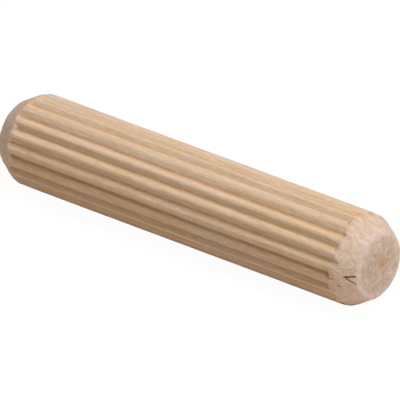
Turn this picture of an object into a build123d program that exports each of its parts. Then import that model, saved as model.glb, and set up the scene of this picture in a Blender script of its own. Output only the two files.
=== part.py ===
from build123d import *
import os
from math import cos, radians, tan

os.makedirs("parts", exist_ok=True)

# Fluted wooden dowel pin, lying along X on two of its ridges, its middle at the origin
length = 38.1  # end face to end face
ridge_diameter = 7.94  # over the ridge tops
flute_count = 20  # straight flutes, evenly spaced round the pin
flute_depth = 0.26  # ridge top down to groove bottom
ridge_radius = 0.42  # rounding of each ridge, seen end on
chamfer_length = 1.87  # along the axis, up to the corner before it is rounded; the flutes stop there
chamfer_angle = 31.4  # between the chamfer and the axis
corner_radius = 1.52  # rounding where the chamfer runs into the shank
rim_radius = 0.45  # rounding where the chamfer runs into the end face
blank_gap = 0.005  # the turned blank stands this far outside the ridge tops
die_wall = 1.5  # thickness of the fluting die outside the blank

# Flute section: ridge arcs and groove arcs that meet with no corner
pitch = 360 / flute_count
half_pitch = pitch / 2
ridge_top = ridge_diameter / 2
groove_bottom = ridge_top - flute_depth
ridge_middle = ridge_top - ridge_radius
across = cos(radians(half_pitch))
groove_radius = (
    ridge_radius**2 - ridge_middle**2 - groove_bottom**2 + 2 * ridge_middle * groove_bottom * across
) / (2 * (groove_bottom - ridge_middle * across - ridge_radius))
groove_middle = groove_bottom + groove_radius

ridge_point = Vector(ridge_middle, 0)
groove_point = Vector(groove_middle, 0).rotate(Axis.Z, half_pitch)
join_after = ridge_point + (groove_point - ridge_point).normalized() * ridge_radius
join_before = Vector(join_after.X, -join_after.Y)
crest = Vector(ridge_top, 0)
valley = Vector(groove_bottom, 0).rotate(Axis.Z, half_pitch)

# Fluting die: the blank is drawn through it between the two chamfers
half_length = length / 2
blank_top = ridge_top + blank_gap

with BuildPart() as die:
    with BuildSketch(Plane.YZ):
        Circle(blank_top + die_wall)
        with BuildLine():
            for flute in range(flute_count):
                # half a pitch of turn puts a groove straight down, so two ridges touch the bench
                turn = (flute + 0.5) * pitch
                ThreePointArc(
                    join_before.rotate(Axis.Z, turn),
                    crest.rotate(Axis.Z, turn),
                    join_after.rotate(Axis.Z, turn),
                )
                ThreePointArc(
                    join_after.rotate(Axis.Z, turn),
                    valley.rotate(Axis.Z, turn),
                    join_before.rotate(Axis.Z, turn + pitch),
                )
        make_face(mode=Mode.SUBTRACT)
    extrude(amount=half_length - chamfer_length, both=True)

# Turned blank with a rounded chamfer at both ends
face_edge = blank_top - chamfer_length * tan(radians(chamfer_angle))

with BuildPart() as blank:
    with BuildSketch(Plane.XY):
        with BuildLine():
            Polyline(
                (-half_length, 0),
                (-half_length, face_edge),
                (chamfer_length - half_length, blank_top),
                (half_length - chamfer_length, blank_top),
                (half_length, face_edge),
                (half_length, 0),
                close=True,
            )
        blank_face = make_face()
        corners = blank_face.vertices().filter_by_position(Axis.Y, blank_top, blank_top)
        fillet(corners, corner_radius)
        rims = vertices().filter_by_position(Axis.Y, face_edge, face_edge)
        fillet(rims, rim_radius)
    revolve(axis=Axis.X)

pin = blank.part - die.part
pin.label = "pin"

export_step(pin, "parts/pin.step")
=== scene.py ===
from bisect import bisect_right
from math import acos, atan2, cos, degrees, hypot, pi, radians, sin, sqrt, tan
from random import Random

import bmesh
import bpy
from mathutils import Matrix, Vector


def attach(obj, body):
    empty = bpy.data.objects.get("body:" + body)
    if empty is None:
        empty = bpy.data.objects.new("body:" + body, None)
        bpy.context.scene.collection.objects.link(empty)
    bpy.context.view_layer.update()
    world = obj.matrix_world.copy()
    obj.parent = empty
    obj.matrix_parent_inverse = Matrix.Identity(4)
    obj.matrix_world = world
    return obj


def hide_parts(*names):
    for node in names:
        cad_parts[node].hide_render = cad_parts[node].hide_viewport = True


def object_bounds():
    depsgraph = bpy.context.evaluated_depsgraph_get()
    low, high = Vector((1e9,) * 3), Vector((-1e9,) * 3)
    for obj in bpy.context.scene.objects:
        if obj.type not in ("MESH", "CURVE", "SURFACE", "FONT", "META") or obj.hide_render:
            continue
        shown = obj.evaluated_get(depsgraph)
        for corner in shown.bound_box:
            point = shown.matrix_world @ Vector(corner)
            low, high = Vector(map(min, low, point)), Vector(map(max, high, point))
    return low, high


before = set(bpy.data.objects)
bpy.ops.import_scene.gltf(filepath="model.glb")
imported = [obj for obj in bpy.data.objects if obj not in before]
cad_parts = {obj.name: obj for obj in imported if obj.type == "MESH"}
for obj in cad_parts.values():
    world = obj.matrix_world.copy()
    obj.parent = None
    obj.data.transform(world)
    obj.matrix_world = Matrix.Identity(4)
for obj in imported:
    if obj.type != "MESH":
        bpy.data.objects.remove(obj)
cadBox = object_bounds()
print("frame loaded")

mm = 0.001

# the pin, in millimetres and degrees: the part's sizes, with sharper ridges and grooves
pinShape = {
    "length": 38.1,
    "ridgeTop": 3.97,
    "blankGap": 0.005,  # the turned ends run out this far outside the ridge tops
    "flutes": 20,
    "fluteDepth": 0.26,
    "ridgeRadius": 0.36,  # rounding of a ridge, seen end on
    "grooveRadius": 0.12,
    "chamferLength": 1.87,
    "chamferAngle": 31.4,
    "cornerRadius": 1.52,
    "rimRadius": 0.45,
    # how far back from its own end face each flute stops, from the lowest one round
    # anticlockwise, as seen from that end
    "frontEnds": (1.9, 2.1, 1.7, 2.0, 2.2, 1.8, 1.6, 2.1, 1.9, 2.15,
                  2.38, 2.25, 1.86, 1.92, 1.5, 2.26, 2.3, 2.04, 1.75, 2.0),
    "backEnds": (2.0, 1.8, 2.15, 1.7, 1.95, 2.2, 1.85, 2.05, 1.65, 1.9,
                 2.1, 1.75, 2.0, 2.25, 1.8, 1.95, 2.15, 1.7, 2.05, 1.85),
    "tornBy": 0.11,  # the stops are ragged by so much either way
    # places round the pin, from its -Y side upwards, each with how far the flutes have drifted
    # there and how much deeper they were pressed, as a share of their depth
    "drift": ((-54, 0.5, 0.0), (-36, 1.5, 0.1), (-18, 1.8, 0.2), (-9, -1.0, 0.25), (0, 1.5, 0.3),
              (9, 0.3, 0.2), (18, 0.2, 0.15), (27, 0.2, 0.1), (36, 0.4, 0.1), (45, 0.1, 0.2),
              (54, 0.0, 0.25), (63, 2.2, 0.1), (72, 3.9, 0.0), (81, 2.4, 0.0), (90, 2.0, 0.0),
              (108, 0.6, -0.1), (126, -0.8, 0.1), (153, 0.5, -0.1), (180, -0.5, 0.0),
              (216, 0.7, -0.15), (260, -0.6, 0.0)),
    "deeperFrom": 1.2,  # nearer the end face than this no flute is pressed deeper
    # the mesh: points round one flute, then rings of points from the middle to the end face,
    # in even steps on the shank, close steps over the flute ends and ever closer ones to the face
    "slices": 20,
    "shankEnd": 16.3,
    "shankSteps": 40,
    "closeStep": 0.085,
    "closeSteps": 17,
    "rimSteps": 16,
    "rimSpread": 0.75,  # a lower power spreads the last rings more evenly
    "turnedFrom": 2.6,  # back from the end face, where the first turned or torn ring is
    "faceRings": (0.93, 0.85, 0.8, 0.75, 0.65, 0.5, 0.3),  # each a share of the ring outside it
    "sameRadius": 0.00001,  # differences under these two do not count
    "samePlace": 0.0001,
    "weld": 0.002,  # the halves are joined where points are closer than this
}


def deselectAll():
    if bpy.context.object and bpy.context.object.mode != "OBJECT":
        bpy.ops.object.mode_set(mode="OBJECT")
    bpy.ops.object.select_all(action="DESELECT")


def selectOnly(piece):
    deselectAll()
    piece.select_set(True)
    bpy.context.view_layer.objects.active = piece


def pick(mesh, wanted):
    # select the vertices for which wanted(co) is true, in edit mode
    bm = bmesh.from_edit_mesh(mesh)
    for v in bm.verts:
        v.select_set(bool(wanted(v.co)))
    bm.select_flush_mode()
    bmesh.update_edit_mesh(mesh)


def triangles(piece):
    return sum(len(p.vertices) - 2 for p in piece.data.polygons)


def ease(low, high, value):
    # 0 below low, 1 above high, smooth between
    share = min(1.0, max(0.0, (value - low) / (high - low)))
    return share * share * (3 - 2 * share)


def fluteRadius(shape, part):
    # radius of the flute section at a share of the pitch from a ridge top, 0 to 0.5
    top = shape["ridgeTop"]
    ridge = shape["ridgeRadius"]
    groove = shape["grooveRadius"]
    halfPitch = pi / shape["flutes"]
    ridgeMiddle = Vector((top - ridge, 0))
    grooveMiddle = Vector((cos(halfPitch), sin(halfPitch))) * (top - shape["fluteDepth"] + groove)
    # a flank drawn straight from the ridge arc to the groove arc
    across = grooveMiddle - ridgeMiddle
    facing = atan2(across.y, across.x) - acos(min(1.0, (ridge + groove) / across.length))
    out = Vector((cos(facing), sin(facing)))
    flankStart = ridgeMiddle + out * ridge
    flankEnd = grooveMiddle - out * groove
    turn = part * 2 * halfPitch
    if turn <= atan2(flankStart.y, flankStart.x):
        return ridgeMiddle.x * cos(turn) + sqrt(ridge ** 2 - (ridgeMiddle.x * sin(turn)) ** 2)
    if turn <= atan2(flankEnd.y, flankEnd.x):
        return flankStart.dot(out) / cos(turn - facing)
    turn = halfPitch - turn
    return grooveMiddle.length * cos(turn) - sqrt(groove ** 2 - (grooveMiddle.length * sin(turn)) ** 2)


def endProfile(shape, back):
    # radius of the turned end at a distance back from the end face
    top = shape["ridgeTop"] + shape["blankGap"]
    angle = radians(shape["chamferAngle"])
    slope = tan(angle)
    edge = top - shape["chamferLength"] * slope
    corner = shape["cornerRadius"]
    rim = shape["rimRadius"]
    # corner arc, tangent to the shank and to the chamfer
    reach = corner * tan(angle / 2)
    cornerStart = shape["chamferLength"] + reach
    cornerEnd = shape["chamferLength"] - reach * cos(angle)
    # rim arc, tangent to the end face and to the chamfer
    rimReach = rim * tan((pi / 2 - angle) / 2)
    rimEnd = rimReach * cos(angle)
    if back >= cornerStart:
        return top
    if back >= cornerEnd:
        return top - corner + sqrt(corner ** 2 - (cornerStart - back) ** 2)
    if back >= rimEnd:
        return edge + back * slope
    flat = edge - rimReach
    return flat + sqrt(max(0.0, rim ** 2 - (rim - back) ** 2))


def outerRadius(shape, back):
    # the furthest out that any point may be: the ridge tops, or the turned end
    return min(shape["ridgeTop"], endProfile(shape, back))


def makeFlutedCircle(shape, name):
    # the middle section of the pin, left in edit mode
    deselectAll()
    around = shape["flutes"] * shape["slices"]
    bpy.ops.mesh.primitive_circle_add(
        vertices=around, radius=shape["ridgeTop"] * mm, rotation=(0, pi / 2, 0))
    circle = bpy.context.object
    circle.name = name
    bpy.ops.object.transform_apply(location=True, rotation=True, scale=True)
    bpy.ops.object.mode_set(mode="EDIT")
    bpy.context.tool_settings.mesh_select_mode = (True, False, False)
    pitch = 2 * pi / shape["flutes"]

    def flutePart(co):
        # share of the pitch from the nearest ridge top, a groove straight down
        turn = atan2(co.z, co.y) / pitch - 0.5
        return abs(turn - round(turn))

    # points at the same share of the pitch are drawn in together
    for step in range(1, shape["slices"] // 2 + 1):
        part = step / shape["slices"]
        pick(circle.data, lambda co: abs(flutePart(co) - part) < 0.2 / shape["slices"])
        scale = fluteRadius(shape, part) / shape["ridgeTop"]
        bpy.ops.transform.resize(value=(scale, scale, scale), center_override=(0, 0, 0))
    return circle


def turnRing(half, shape, place, stopped):
    # on the newest ring, ridges outside the turned end are cut down to it,
    # and grooves are filled out to it past the point where their flute stops
    back = shape["length"] / 2 - place
    limit = outerRadius(shape, back)
    bm = bmesh.from_edit_mesh(half.data)
    turnings = {}
    for v in bm.verts:
        if v.select:
            radius = round(hypot(v.co.y, v.co.z) / mm, 4)
            outside = radius > limit + shape["sameRadius"]
            inside = radius < limit - shape["sameRadius"]
            if outside or (inside and stopped(v.co, back)):
                turnings.setdefault(radius, []).append(v)
            v.select_set(False)
    for radius, points in turnings.items():
        for v in points:
            v.select_set(True)
        bm.select_flush_mode()
        bmesh.update_edit_mesh(half.data)
        scale = limit / radius
        bpy.ops.transform.resize(value=(1, scale, scale), center_override=(place * mm, 0, 0))
        for v in points:
            v.select_set(False)
    pick(half.data, lambda co: abs(co.x - place * mm) < shape["samePlace"] * mm)


def makeHalf(shape, fluteEnds, name):
    # half a pin, from its open middle to the end face on +X
    half = makeFlutedCircle(shape, name)
    halfLength = shape["length"] / 2
    around = shape["flutes"] * shape["slices"]

    # every line of points along the pin has its own ragged stop
    chance = Random(name)
    stops = []
    for line in range(around):
        flute = int((line + shape["slices"] / 2) // shape["slices"]) % shape["flutes"]
        stops.append(fluteEnds[flute] + chance.uniform(-1, 1) * shape["tornBy"])

    def stopped(co, back):
        line = round((atan2(co.z, co.y) + pi / 2) / (2 * pi) * around) % around
        return back < stops[line]

    steps = shape["shankSteps"]
    stations = [shape["shankEnd"] * i / steps for i in range(1, steps + 1)]
    stations += [shape["shankEnd"] + shape["closeStep"] * i for i in range(1, shape["closeSteps"] + 1)]
    steps = shape["rimSteps"]
    left = halfLength - stations[-1]
    for i in range(1, steps + 1):
        stations.append(halfLength - left * (1 - sin(i / steps * pi / 2)) ** shape["rimSpread"])

    place = 0.0
    bpy.ops.mesh.select_all(action="SELECT")
    for station in stations:
        bpy.ops.mesh.extrude_region_move(
            TRANSFORM_OT_translate={"value": ((station - place) * mm, 0, 0)})
        place = station
        if halfLength - place <= shape["turnedFrom"]:
            turnRing(half, shape, place, stopped)

    # end face: drawn in by rings, then closed at the middle
    for scale in shape["faceRings"]:
        bpy.ops.mesh.extrude_region_move(TRANSFORM_OT_translate={"value": (0, 0, 0)})
        bpy.ops.transform.resize(value=(1, scale, scale), center_override=(place * mm, 0, 0))
    bpy.ops.mesh.merge(type="CENTER")
    bpy.ops.object.mode_set(mode="OBJECT")
    return half


def driftFlutes(pin, shape):
    # flutes pressed in wood are not quite evenly spaced, nor all of one depth
    places = sorted((place + lap, amount, deeper)
                    for place, amount, deeper in shape["drift"] for lap in (-360, 0, 360))
    turns = [place for place, amount, deeper in places]
    for v in pin.data.vertices:
        turn = degrees(atan2(v.co.z, -v.co.y))
        following = bisect_right(turns, turn)
        before, after = places[following - 1], places[following]
        share = (turn - before[0]) / (after[0] - before[0])
        amount = before[1] + (after[1] - before[1]) * share
        deeper = before[2] + (after[2] - before[2]) * share
        back = shape["length"] / 2 - abs(v.co.x) / mm
        radius = hypot(v.co.y, v.co.z) / mm
        if back > shape["deeperFrom"]:
            sunk = max(0.0, outerRadius(shape, back) - radius)
            scale = 1 - sunk * deeper / radius
            v.co *= Vector((1, scale, scale))
        v.co.rotate(Matrix.Rotation(-radians(amount), 3, "X"))
    print("flutes drifted")


def makePin(shape):
    pin = makeHalf(shape, shape["frontEnds"], "fluted_pin")
    print("front half drawn out")
    other = makeHalf(shape, shape["backEnds"], "other_half")
    other.rotation_euler = (0, 0, pi)
    selectOnly(other)
    bpy.ops.object.transform_apply(location=True, rotation=True, scale=True)
    print("back half drawn out")
    pin.select_set(True)
    bpy.context.view_layer.objects.active = pin
    bpy.ops.object.join()
    bpy.ops.object.mode_set(mode="EDIT")
    bpy.ops.mesh.select_all(action="SELECT")
    bpy.ops.mesh.remove_doubles(threshold=shape["weld"] * mm)
    bpy.ops.mesh.normals_make_consistent(inside=False)
    bpy.ops.object.mode_set(mode="OBJECT")
    bpy.ops.object.shade_smooth()
    print("halves joined, triangles", triangles(pin))
    driftFlutes(pin, shape)
    return pin


# where each mark on the surface begins and ends, as the two values that ease takes
surfaceMarks = {
    # millimetres back from the end face
    "groovesFrom": 0.3,
    "flatFace": 0.02,
    # where the painted flute shadow past its stop begins and is full
    "traceBack": (0.75, 1.9),
    "turnedBack": (1.45, 2.3),
    "rimBack": (0.12, 0.5),
    "endsBack": (1.1, 1.9),
    "fluteEndsFrom": (1.0, 1.5),
    "fluteEndsTo": (2.45, 2.75),
    # millimetres beyond the radius of the flat end face
    "rimRound": (-0.35, 0.02),
    "endGrainRound": (-0.25, 0.05),
    # share of the flute depth
    # painted shade in the groove bottoms, then the painted flute shadow, which keeps to shallow flutes
    "grooveShadeDepth": (0.78, 1.0),
    "traceDepth": (0.0, 0.4),
    "turnedFade": 3,  # a flute has lost the turned look at one part in so many of its depth
    # share of the pitch from a ridge top
    "inGroove": (0.26, 0.46),
}


def markSurface(pin, shape, zones):
    # groove: its bottom, where shade is painted. trace: a painted shadow of the flute past its stop.
    # turned: the cut end.
    # rim: the edge of the end face. endGrain: the flat face inside it
    marks = {"groove": [], "fluteShadow": [], "turned": [], "rim": [], "endGrain": []}
    bands = {name: pin.vertex_groups.new(name=name) for name in ("whole", "grooveEnds", "ends")}
    faceRadius = endProfile(shape, 0)
    rimRound = [faceRadius + x for x in zones["rimRound"]]
    endGrainRound = [faceRadius + x for x in zones["endGrainRound"]]
    for i, v in enumerate(pin.data.vertices):
        back = shape["length"] / 2 - abs(v.co.x) / mm
        radius = hypot(v.co.y, v.co.z) / mm
        depth = 0.0
        if back > zones["groovesFrom"]:
            depth = max(0.0, outerRadius(shape, back) - radius) / shape["fluteDepth"]
        turn = atan2(v.co.z, v.co.y) / (2 * pi) * shape["flutes"] - 0.5
        inGroove = ease(*zones["inGroove"], abs(turn - round(turn)))
        shallow = 1 - ease(*zones["traceDepth"], depth)
        notGroove = 1 - min(1.0, zones["turnedFade"] * depth)
        onFace = back < zones["flatFace"]
        # painted shade in the groove bottoms
        marks["groove"].append(ease(*zones["grooveShadeDepth"], depth))
        # painted shadow of the flute past its stop
        marks["fluteShadow"].append(inGroove * ease(*zones["traceBack"], back) * shallow)
        marks["turned"].append((1 - ease(*zones["turnedBack"], back)) * notGroove)
        marks["rim"].append(ease(*rimRound, radius) * (1 - ease(*zones["rimBack"], back)))
        marks["endGrain"].append(1 - ease(*endGrainRound, radius) if onFace else 0.0)
        nearStop = ease(*zones["fluteEndsFrom"], back) * (1 - ease(*zones["fluteEndsTo"], back))
        bands["whole"].add([i], 1.0, "REPLACE")
        bands["ends"].add([i], 1 - ease(*zones["endsBack"], back), "REPLACE")
        bands["grooveEnds"].add([i], nearStop, "REPLACE")
    for name, values in marks.items():
        mark = pin.data.attributes.new(name, "FLOAT", "POINT")
        mark.data.foreach_set("value", values)
    print("surface marked")


# soft unevenness of worked wood
unevenness = {
    "softening": 0.5,  # how far each pass softens the ends of the flutes
    "passes": 5,
    "detail": 2,
    # noise, the band it keeps to, and in millimetres its grain size along, round and through
    # the pin, its height, and how far along the pin its pattern is shifted
    "layers": [
        ("ridge wander", "whole", (9.0, 1.1, 1.1), 0.030, 15.6),
        ("raised grain", "whole", (2.6, 0.22, 0.22), 0.016, 15.6),
        ("short fibres", "whole", (0.7, 0.2, 0.2), 0.016, 15.6),
        ("torn groove ends", "grooveEnds", (0.34, 0.26, 0.26), 0.085, 20.8),
        ("chamfer facets", "ends", (0.9, 0.55, 0.55), 0.030, 18.2),
        ("cut fibres", "ends", (0.22, 0.13, 0.13), 0.016, 13.0),
    ],
}


def roughen(pin, wear):
    # the flutes run out softly
    selectOnly(pin)
    soften = pin.modifiers.new("worn groove ends", "SMOOTH")
    soften.factor = wear["softening"]
    soften.iterations = wear["passes"]
    soften.vertex_group = "grooveEnds"
    bpy.ops.object.modifier_apply(modifier=soften.name)
    for name, band, size, height, shift in wear["layers"]:
        deselectAll()
        bpy.ops.object.empty_add(location=(shift * mm, 0, 0))
        guide = bpy.context.object
        guide.scale = [x * mm for x in size]
        clouds = bpy.data.textures.new(name, "CLOUDS")
        clouds.noise_scale = 1.0
        clouds.noise_depth = wear["detail"]
        selectOnly(pin)
        lift = pin.modifiers.new(name, "DISPLACE")
        lift.texture = clouds
        lift.texture_coords = "OBJECT"
        lift.texture_coords_object = guide
        lift.vertex_group = band
        lift.mid_level = 0.5
        lift.strength = height * mm
        bpy.ops.object.modifier_apply(modifier=lift.name)
        bpy.data.objects.remove(guide)
    print("surface roughened")


# the split in one chamfer, two cracks that run from one point to the rim, and small tears near it
splitShape = {
    # tip and mouth, each in millimetres back from the end face and degrees above the -Y side,
    # then width and depth
    "cracks": [
        ((0.98, 0.6), (0.16, 2.2), 0.27, 0.5),
        ((0.98, 1.2), (0.14, -11.0), 0.21, 0.45),
        ((2.25, -3.0), (1.5, -4.5), 0.18, 0.2),
        ((1.5, -12.5), (1.25, -14.5), 0.28, 0.24),
        ((1.45, 11.0), (0.5, 12.5), 0.07, 0.05),
    ],
    "squareOut": (0.85, 0.52),  # square to the chamfer: away from the axis, and along it
    "standsOut": 0.14,  # how far a cutter stands out of the wood
    "pastMouth": 0.04,  # share of its length that it runs on past the mouth
    "tipWidth": 0.8,  # shares of the crack's width
    "mouthWidth": 0.6,
    "bottomWidth": 0.2,  # share of the width at the surface
    "tipDepth": 0.8,  # share of the crack's depth
    "cuts": 6,  # how finely a cutter is divided, then how ragged it is
    "ragged": 0.6,
    "firstSeed": 3,
    "flatFace": 0.02,  # nothing so near the end face counts as crack
    # painted shade inside the cracks
    "crackShadeDepths": (0.05, 0.2),  # from and to this deep
}


def makeCutter(shape, pinSizes, number):
    tip, mouth, width, depth = shape["cracks"][number]
    ends = []
    for back, turn in (tip, mouth):
        angle = radians(turn)
        out = Vector((0, -cos(angle), sin(angle)))
        onAxis = Vector(((pinSizes["length"] / 2 - back) * mm, 0, 0))
        ends.append(onAxis + out * outerRadius(pinSizes, back) * mm)
    along = ends[1] - ends[0]
    middle = (ends[0] + ends[1]) / 2
    away, forward = shape["squareOut"]
    outward = Vector((0.0, middle.y, middle.z)).normalized() * away + Vector((forward, 0, 0))
    outward = (outward - along.normalized() * outward.dot(along.normalized())).normalized()
    side = outward.cross(along.normalized())
    deselectAll()
    bpy.ops.mesh.primitive_cube_add(size=1)
    wedge = bpy.context.object
    wedge.name = "crack_cutter_%d" % number
    # the cube is drawn to a V, wide above the surface and narrow at the bottom
    for v in wedge.data.vertices:
        atMouth = v.co.x > 0
        high = v.co.z > 0
        half = width / 2 * (shape["mouthWidth"] if atMouth else shape["tipWidth"])
        if not high:
            half *= shape["bottomWidth"]
        level = shape["standsOut"] if high else -(depth if atMouth else depth * shape["tipDepth"])
        centre = ends[1] + along * shape["pastMouth"] if atMouth else ends[0]
        v.co = centre + side * (half * mm if v.co.y > 0 else -half * mm) + outward * level * mm
    bpy.ops.object.mode_set(mode="EDIT")
    bpy.ops.mesh.select_all(action="SELECT")
    bpy.ops.mesh.subdivide(
        number_cuts=shape["cuts"], fractal=shape["ragged"], seed=shape["firstSeed"] + number)
    bpy.ops.mesh.normals_make_consistent(inside=False)
    bpy.ops.object.mode_set(mode="OBJECT")
    return wedge


def cutSplit(pin, shape, pinSizes):
    uncut = {v.co.copy().freeze() for v in pin.data.vertices}
    for number in range(len(shape["cracks"])):
        wedge = makeCutter(shape, pinSizes, number)
        selectOnly(pin)
        cut = pin.modifiers.new("crack", "BOOLEAN")
        cut.operation = "DIFFERENCE"
        cut.solver = "MANIFOLD"
        cut.object = wedge
        bpy.ops.object.modifier_apply(modifier=cut.name)
        bpy.data.objects.remove(wedge)
    # faces of many sides round the cut are fanned out from their middles
    selectOnly(pin)
    bpy.ops.object.mode_set(mode="EDIT")
    bpy.context.tool_settings.mesh_select_mode = (False, False, True)
    bpy.ops.mesh.select_all(action="SELECT")
    bpy.ops.mesh.vert_connect_concave()
    bpy.ops.mesh.select_all(action="DESELECT")
    bpy.ops.mesh.select_face_by_sides(number=4, type="GREATER")
    bpy.ops.mesh.poke()
    bpy.ops.object.mode_set(mode="OBJECT")
    # painted shade: new points are darker the further they are below the turned surface
    crackShade = []
    for v in pin.data.vertices:
        back = pinSizes["length"] / 2 - v.co.x / mm
        sunk = 0.0
        if back > shape["flatFace"] and v.co.copy().freeze() not in uncut:
            sunk = endProfile(pinSizes, back) - hypot(v.co.y, v.co.z) / mm
        crackShade.append(ease(*shape["crackShadeDepths"], sunk))
    mark = pin.data.attributes.new("crack", "FLOAT", "POINT")
    mark.data.foreach_set("value", crackShade)
    print("split cut, triangles", triangles(pin))


# a row of four numbers is the noise's low and high and what each of them becomes
woodLook = {
    "warm": (0.8, 0.585, 0.38, 1),  # lightest tone on a ridge
    "pink": (0.797, 0.59, 0.417, 1),
    "pinkPatches": (0.38, 0.62, 0.0, 1.0),
    "cutWood": (0.78, 0.595, 0.475, 1),  # freshly cut chamfer
    "cutPatches": (0.25, 0.55, 0.4, 1.0),
    "rimWood": (0.765, 0.603, 0.52, 1),  # fuzzy edge of the end face
    "endFace": (0.69, 0.553, 0.46, 1),
    # small orange spot on the end face: its place, how uneven its edge is and where it fades,
    # in millimetres
    "stain": (0.62, 0.4, 0.22, 1),
    "stainAt": (19.05, 0.35, 0.16),
    "stainEdge": (0.3, 0.7, -0.2, 0.25),
    "stainFade": (0.15, 0.7),
    "stainStrength": 0.8,
    "roughness": 0.8,
    "specular": 0.2,
    "bumpStrength": 0.55,
    "bumpHeight": 0.03,
    "raised": {"long streaks": 0.6, "fibres": 0.5, "mottle": 1.2},
    # size along the pin, across it and upright in millimetres, detail, roughness, seed
    "noises": {
        "tone of the stick": (14.0, 1.5, 1.5, 2, 0.55, 3.1),
        "year rings": (30.0, 0.62, 0.62, 3, 0.55, 7.7),
        "long streaks": (4.2, 0.22, 0.22, 4, 0.62, 1.3),
        "fibres": (1.5, 0.075, 0.075, 3, 0.6, 5.9),
        "short flecks": (0.7, 0.14, 0.14, 2, 0.6, 6.8),
        "pores": (0.9, 0.06, 0.06, 1, 0.5, 9.4),
        "mottle": (0.9, 0.45, 0.45, 3, 0.6, 2.2),  # on the cut ends
        "saw marks": (0.5, 0.09, 1.6, 2, 0.5, 4.4),
    },
    "seedShift": (1.0, 1.7, 0.6),  # a seed moves its noise by so much on each axis
    # what makes the wood deeper in colour: a mark by itself, painted shade in the groove bottoms and
    # down in the cracks, then noises all over, then noises that keep to one mark, among them the
    # painted flute shadow past its stop
    "paintedShadeDepths": {"groove": 0.34, "crack": 1.3},
    "noiseDepths": [
        ("year rings", (0.35, 0.68, -0.06, 0.09)),
        ("long streaks", (0.33, 0.7, -0.10, 0.15)),
        ("fibres", (0.3, 0.72, -0.10, 0.14)),
        ("short flecks", (0.3, 0.7, -0.13, 0.17)),
        ("pores", (0.66, 0.74, 0.0, 0.25)),
    ],
    "markedDepths": [
        ("endGrain", "mottle", (0.3, 0.7, 0.0, 0.22)),
        ("endGrain", "tone of the stick", (0.38, 0.6, -0.06, 0.12)),
        ("endGrain", "saw marks", (0.35, 0.7, -0.04, 0.12)),
        ("turned", "mottle", (0.35, 0.75, -0.1, 0.22)),
        # painted shadow of the flute past its stop, streaked along the grain
        ("fluteShadow", "long streaks", (0.3, 0.6, 0.5, 0.12)),
    ],
}


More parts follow.
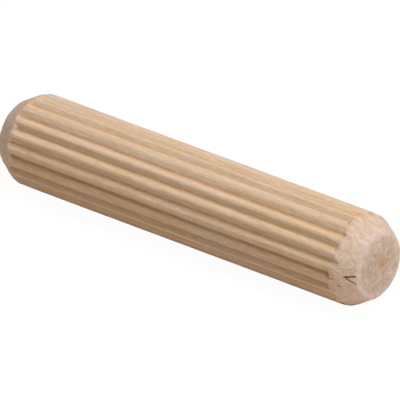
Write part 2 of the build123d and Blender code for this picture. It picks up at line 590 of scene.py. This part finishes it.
def makeWood(look):
    wood = bpy.data.materials.new("raw_hardwood")
    wood.use_nodes = True
    nodes = wood.node_tree.nodes
    links = wood.node_tree.links
    shader = nodes["Principled BSDF"]
    shader.inputs["Roughness"].default_value = look["roughness"]
    shader.inputs["Specular IOR Level"].default_value = look["specular"]
    coords = nodes.new("ShaderNodeTexCoord")

    def fill(socket, value):
        # a number or a colour is set on the socket, an output is linked to it
        if isinstance(value, (int, float, tuple)):
            socket.default_value = value
        else:
            links.new(value, socket)

    def grain(name, along, across, upright, detail, roughness, seed):
        stretch = nodes.new("ShaderNodeMapping")
        stretch.inputs["Scale"].default_value = [1 / mm / size for size in (along, across, upright)]
        stretch.inputs["Location"].default_value = [seed * shift for shift in look["seedShift"]]
        noise = nodes.new("ShaderNodeTexNoise")
        noise.label = name
        noise.inputs["Scale"].default_value = 1.0
        noise.inputs["Detail"].default_value = detail
        noise.inputs["Roughness"].default_value = roughness
        links.new(coords.outputs["Object"], stretch.inputs["Vector"])
        links.new(stretch.outputs["Vector"], noise.inputs["Vector"])
        return noise.outputs["Fac"]

    def worked(operation, a, b):
        node = nodes.new("ShaderNodeMath")
        node.operation = operation
        fill(node.inputs[0], a)
        fill(node.inputs[1], b)
        return node.outputs[0]

    def plus(a, b):
        return worked("ADD", a, b)

    def times(a, b):
        return worked("MULTIPLY", a, b)

    def ranged(value, low, high, toLow, toHigh):
        node = nodes.new("ShaderNodeMapRange")
        node.interpolation_type = "SMOOTHSTEP"
        limits = (("From Min", low), ("From Max", high), ("To Min", toLow), ("To Max", toHigh))
        for name, number in limits:
            node.inputs[name].default_value = number
        links.new(value, node.inputs["Value"])
        return node.outputs["Result"]

    def markOf(name):
        node = nodes.new("ShaderNodeAttribute")
        node.attribute_name = name
        return node.outputs["Fac"]

    def mixed(share, a, b):
        node = nodes.new("ShaderNodeMix")
        node.data_type = "RGBA"
        fill(node.inputs["Factor"], share)
        fill(node.inputs["A"], a)
        fill(node.inputs["B"], b)
        return node.outputs["Result"]

    noises = {name: grain(name, *row) for name, row in look["noises"].items()}
    # the groove, flute shadow and crack marks carry painted shade
    marks = {name: markOf(name) for name in ("groove", "fluteShadow", "turned", "rim", "endGrain", "crack")}
    mottle = noises["mottle"]

    # hue: warm yellow to pink by broad patches, then the cut ends
    pinkShare = ranged(noises["tone of the stick"], *look["pinkPatches"])
    tone = mixed(pinkShare, look["warm"], look["pink"])
    tone = mixed(times(marks["turned"], ranged(mottle, *look["cutPatches"])), tone, look["cutWood"])
    tone = mixed(marks["endGrain"], tone, look["endFace"])
    tone = mixed(marks["rim"], tone, look["rimWood"])

    # the spot fades by its distance from its middle, with an uneven edge
    spot = nodes.new("ShaderNodeVectorMath")
    spot.operation = "DISTANCE"
    links.new(coords.outputs["Object"], spot.inputs[0])
    spot.inputs[1].default_value = [x * mm for x in look["stainAt"]]
    low, high, inwards, outwards = look["stainEdge"]
    spread = plus(spot.outputs["Value"], ranged(mottle, low, high, inwards * mm, outwards * mm))
    start, end = look["stainFade"]
    stained = ranged(spread, start * mm, end * mm, look["stainStrength"], 0.0)
    tone = mixed(stained, tone, look["stain"])

    # depth of colour: a power of the tone, 1 as written, more is darker and redder
    # painted shade in the groove bottoms
    deep = plus(times(marks["groove"], look["paintedShadeDepths"]["groove"]), 1.0)
    for name, row in look["noiseDepths"]:
        deep = plus(deep, ranged(noises[name], *row))
    # painted shade down in the cracks
    deep = plus(deep, times(marks["crack"], look["paintedShadeDepths"]["crack"]))
    # the painted flute shadow past its stop comes in here, with the real grain of the cut ends
    for mark, name, row in look["markedDepths"]:
        deep = plus(deep, times(marks[mark], ranged(noises[name], *row)))
    power = nodes.new("ShaderNodeGamma")
    links.new(tone, power.inputs["Color"])
    links.new(deep, power.inputs["Gamma"])
    links.new(power.outputs["Color"], shader.inputs["Base Color"])

    # fibres stand up a little, more so where the wood was cut across
    raised = look["raised"]
    streaks = times(noises["long streaks"], raised["long streaks"])
    height = plus(streaks, times(noises["fibres"], raised["fibres"]))
    height = plus(height, times(times(marks["turned"], mottle), raised["mottle"]))
    bump = nodes.new("ShaderNodeBump")
    bump.inputs["Strength"].default_value = look["bumpStrength"]
    bump.inputs["Distance"].default_value = look["bumpHeight"] * mm
    links.new(height, bump.inputs["Height"])
    links.new(bump.outputs["Normal"], shader.inputs["Normal"])
    print("wood made")
    return wood


pin = makePin(pinShape)
markSurface(pin, pinShape, surfaceMarks)
roughen(pin, unevenness)
cutSplit(pin, splitShape, pinShape)
pin.data.materials.clear()
pin.data.materials.append(makeWood(woodLook))
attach(pin, "root")
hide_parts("pin")

white = (1, 1, 1, 1)

stageLook = {
    "floorSize": 1.2,  # metres
    "floorColour": (0.83, 0.75, 0.66, 1),
    "glow": 1.04,  # just past white
    "seenWhite": 0.93,  # share of the glow in what the camera sees of the floor
}


def makeFloor(look):
    deselectAll()
    low = cadBox[0][2]
    bpy.ops.mesh.primitive_plane_add(size=look["floorSize"], location=(0, 0, low))
    floor = bpy.context.object
    floor.name = "floor"
    bpy.ops.object.transform_apply(location=True, rotation=True, scale=True)
    paper = bpy.data.materials.new("white_paper")
    paper.use_nodes = True
    nodes = paper.node_tree.nodes
    links = paper.node_tree.links
    nodes.clear()
    out = nodes.new("ShaderNodeOutputMaterial")
    diffuse = nodes.new("ShaderNodeBsdfDiffuse")
    diffuse.inputs["Color"].default_value = look["floorColour"]
    glow = nodes.new("ShaderNodeEmission")
    glow.inputs["Color"].default_value = white
    glow.inputs["Strength"].default_value = look["glow"]
    rays = nodes.new("ShaderNodeLightPath")
    share = nodes.new("ShaderNodeMath")
    share.operation = "MULTIPLY"
    share.inputs[1].default_value = look["seenWhite"]
    mix = nodes.new("ShaderNodeMixShader")
    links.new(rays.outputs["Is Camera Ray"], share.inputs[0])
    links.new(share.outputs[0], mix.inputs[0])
    links.new(diffuse.outputs[0], mix.inputs[1])
    links.new(glow.outputs[0], mix.inputs[2])
    links.new(mix.outputs[0], out.inputs[0])
    floor.data.materials.append(paper)
    print("floor laid")


makeFloor(stageLook)

lampLook = {
    "roomLight": 0.01,
    "roomSeen": 1.0,  # what the camera sees of the room
    "distance": 0.6,
    # name, degrees round from -Y towards +X, degrees up, size in metres, power in watts
    "softboxes": [
        ("key_softbox", 84, 65, 0.4, 2.0),
        ("right_softbox", 84, 40, 0.4, 0.78),
        ("back_softbox", 120, 65, 0.4, 0.97),
        ("left_softbox", -90, 40, 0.4, 0.74),
    ],
}


def wayTo(turn, height):
    # unit vector to a place so many degrees round from -Y towards +X, and so many up
    around = radians(turn)
    up = radians(height)
    return Vector((sin(around) * cos(up), -cos(around) * cos(up), sin(up)))


def makeRoom(look):
    world = bpy.data.worlds.new("studio")
    bpy.context.scene.world = world
    world.use_nodes = True
    nodes = world.node_tree.nodes
    links = world.node_tree.links
    nodes.clear()
    out = nodes.new("ShaderNodeOutputWorld")
    rays = nodes.new("ShaderNodeLightPath")
    mix = nodes.new("ShaderNodeMixShader")
    links.new(rays.outputs["Is Camera Ray"], mix.inputs[0])
    for socket, strength in ((mix.inputs[1], look["roomLight"]), (mix.inputs[2], look["roomSeen"])):
        light = nodes.new("ShaderNodeBackground")
        light.inputs["Color"].default_value = white
        light.inputs["Strength"].default_value = strength
        links.new(light.outputs[0], socket)
    links.new(mix.outputs[0], out.inputs[0])
    print("room lit")


def makeLamps(look):
    for name, turn, height, size, power in look["softboxes"]:
        lamp = bpy.data.lights.new(name, "AREA")
        lamp.shape = "SQUARE"
        lamp.size = size
        lamp.energy = power
        box = bpy.data.objects.new(name, lamp)
        toLamp = wayTo(turn, height)
        box.location = toLamp * look["distance"]
        box.rotation_euler = (-toLamp).to_track_quat("-Z", "Y").to_euler()
        bpy.context.scene.collection.objects.link(box)
    print("lamps hung")


makeRoom(lampLook)
makeLamps(lampLook)

# degrees and metres
viewLook = {
    "swing": 39.3,  # how far the pin's near end, on +X, is turned towards the camera
    "height": 26.95,  # how far the camera is above the level of the pin
    "distance": 1.3,
    "frameWidth": 0.03285,
    "aim": (0.000142, 0.000068, -0.000074),
    "nearest": 0.01,
    "furthest": 10,
}


def makeCamera(look):
    toCamera = wayTo(look["swing"], look["height"])
    camData = bpy.data.cameras.new("camera")
    cam = bpy.data.objects.new("camera", camData)
    bpy.context.scene.collection.objects.link(cam)
    cam.location = Vector(look["aim"]) + toCamera * look["distance"]
    cam.rotation_euler = (-toCamera).to_track_quat("-Z", "Y").to_euler()
    camData.lens = camData.sensor_width * look["distance"] / look["frameWidth"]
    camData.clip_start = look["nearest"]
    camData.clip_end = look["furthest"]
    bpy.context.scene.camera = cam
    print("camera set")


makeCamera(viewLook)

bpy.context.scene.view_settings.view_transform = "Standard"
